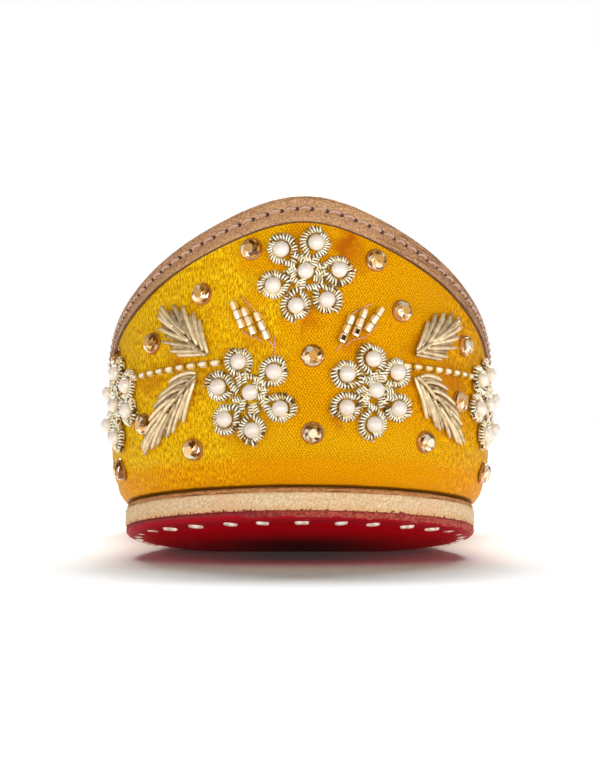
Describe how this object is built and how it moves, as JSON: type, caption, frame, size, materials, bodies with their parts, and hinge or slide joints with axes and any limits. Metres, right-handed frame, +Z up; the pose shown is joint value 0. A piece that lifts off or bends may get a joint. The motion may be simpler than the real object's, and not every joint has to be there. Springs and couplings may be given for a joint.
{
  "type": "khussa slip-on shoe",
  "caption": "Flat slip-on khussa with a rounded sole, a satin upper bound in leather at the topline, and pearl, wire and stone embroidery on the counter and vamp.",
  "frame": {"origin": "on the floor under the middle of the shoe's box", "axes": "+Z up, +Y from heel to toe, +X to the right as seen from behind the heel"},
  "size_m": [0.0734, 0.248, 0.061],
  "materials": {
    "outsole_leather": "red-dyed leather, glossy below, rough at the cut edge",
    "midsole_leather": "raw cut edge of veg-tanned leather, fibrous and matt",
    "rand_leather": "brown leather strip, semi-matt",
    "insole_leather": "smooth tan leather, matt",
    "satin": "mustard satin with fine slubs, soft sheen",
    "binding_leather": "bronze-tan leather with a fine grain and slight shimmer",
    "gold_wire": "pale gold coiled wire with pearls",
    "cut_bead": "silver-lined cut beads",
    "stone": "faceted champagne glass with a foil back"
  },
  "bodies": {
    "root": {"outsole": "outsole_leather", "midsole": "midsole_leather", "rand": "rand_leather", "insole": "insole_leather", "upper": "satin", "binding": "binding_leather", "flower_back": "gold_wire", "flower_left": "gold_wire", "flower_right": "gold_wire", "flower_side_left": "gold_wire", "flower_side_right": "gold_wire", "flower_vamp": "gold_wire", "flower_vamp_right": "gold_wire", "flower_vamp_left": "gold_wire", "leaf_left_upper": "gold_wire", "leaf_left_lower": "gold_wire", "leaf_right_upper": "gold_wire", "leaf_right_lower": "gold_wire", "leaf_vamp_right_upper": "gold_wire", "leaf_vamp_left_upper": "gold_wire", "leaf_vamp_right_lower": "gold_wire", "leaf_vamp_left_lower": "gold_wire", "stem_left": "cut_bead", "stem_right": "cut_bead", "sprig_left_outer": "cut_bead", "sprig_left_middle": "cut_bead", "sprig_left_inner": "cut_bead", "sprig_right_inner": "cut_bead", "sprig_right_middle": "cut_bead", "sprig_right_outer": "cut_bead", "stone_middle_upper": "stone", "stone_middle_lower": "stone", "stone_left_top": "stone", "stone_left_high": "stone", "stone_left_leaf": "stone", "stone_left_tip": "stone", "stone_left_low": "stone", "stone_left_side_high": "stone", "stone_left_side_low": "stone", "stone_right_top": "stone", "stone_right_high": "stone", "stone_right_leaf": "stone", "stone_right_tip": "stone", "stone_right_low": "stone", "stone_right_side_low": "stone", "stone_vamp_middle": "stone", "stone_vamp_toe": "stone", "stone_vamp_right_high": "stone", "stone_vamp_left_high": "stone", "stone_vamp_right_low": "stone", "stone_vamp_left_low": "stone"}
  },
  "joints": []
}
